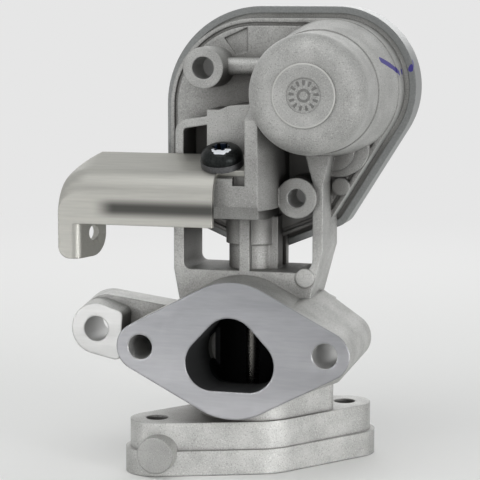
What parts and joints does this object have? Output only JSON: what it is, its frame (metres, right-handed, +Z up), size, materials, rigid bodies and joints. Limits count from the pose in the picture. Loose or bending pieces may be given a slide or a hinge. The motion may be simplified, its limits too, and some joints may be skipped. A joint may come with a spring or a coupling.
{
  "type": "exhaust gas recirculation valve",
  "caption": "Electric exhaust gas recirculation valve with a flanged gas body, legs that carry a geared motor housing, and a bent side bracket.",
  "frame": {"origin": "on the foot's lower face, on the axis of the valve stem", "axes": "+Z up along the valve stem, -Y out of the gas inlet flange, +X to the right seen from the inlet side"},
  "size_m": [0.1237, 0.0969, 0.1656],
  "materials": {
    "cast_aluminium": "sand-textured die casting",
    "crimp_steel": "dull zinc plated sheet",
    "stainless_sheet": "bright bent sheet",
    "machined_steel": "turned and ground",
    "spring_steel": "drawn wire",
    "black_steel": "black zinc flake, satin",
    "black_plastic": "moulded glass-filled plastic",
    "gear_plastic": "natural moulded gear plastic",
    "rubber": "moulded",
    "bronze": "sintered",
    "contact_brass": "tinned",
    "magnet": "sintered",
    "carbon": "pressed carbon",
    "circuit_board": "solder resist"
  },
  "bodies": {
    "housing": {"valve_body": "cast_aluminium", "seat_ring": "machined_steel", "guide_bush": "bronze", "stem_seal": "rubber", "return_spring": "spring_steel", "output_gear_pin": "machined_steel", "idler_gear_pin": "machined_steel", "sensor_board": "circuit_board", "motor_case": "crimp_steel", "motor_wave_washer": "spring_steel", "motor_magnets": "magnet", "motor_bearings": "bronze", "motor_end_plate": "black_plastic", "motor_brushes": "carbon", "motor_screws": "black_steel", "motor_terminals": "contact_brass", "gear_cover": "black_plastic", "socket_contacts": "contact_brass", "cover_seal": "rubber", "crimp_ring": "crimp_steel", "bracket": "stainless_sheet", "bracket_washer": "black_steel", "bracket_screw": "black_steel"},
    "motor": {"motor_rotor": "machined_steel", "motor_pinion": "machined_steel"},
    "idler": {"idler_gear": "gear_plastic"},
    "output": {"output_gear": "gear_plastic", "crank_pin": "machined_steel", "sensor_magnet": "magnet"},
    "roller": {"crank_roller": "machined_steel"},
    "valve": {"valve_stem": "machined_steel", "valve_head": "machined_steel", "spring_cap": "machined_steel", "yoke": "gear_plastic"}
  },
  "joints": [
    {"name": "motor_turn", "type": "hinge", "parent": "housing", "child": "motor", "pos_m": [0.028, 0, 0.1366], "axis": [0, 1, 0], "range_deg": [0, 707.79]},
    {"name": "idler_turn", "type": "hinge", "parent": "housing", "child": "idler", "pos_m": [0.00726, 0, 0.13816], "axis": [0, 1, 0], "range_deg": [-212.81, 0]},
    {"name": "output_turn", "type": "hinge", "parent": "housing", "child": "output", "pos_m": [-0.01, 0, 0.106], "axis": [0, 1, 0], "range_deg": [0, 46.1]},
    {"name": "roller_spin", "type": "hinge", "parent": "output", "child": "roller", "pos_m": [-0.00171, 0, 0.10952], "axis": [0, 1, 0], "continuous": true},
    {"name": "valve_lift", "type": "slide", "parent": "housing", "child": "valve", "axis": [0, 0, -1], "range_m": [0, 0.00703], "stiffness_N_per_m": 600, "springref_m": -0.006, "deforming": ["return_spring"]}
  ],
  "couplings": [
    {"joint": "motor_turn", "follows": "valve_lift", "rad_per_m": 1756.2},
    {"joint": "idler_turn", "follows": "valve_lift", "rad_per_m": -526.86},
    {"joint": "output_turn", "follows": "valve_lift", "rad_per_m": 114.15}
  ]
}
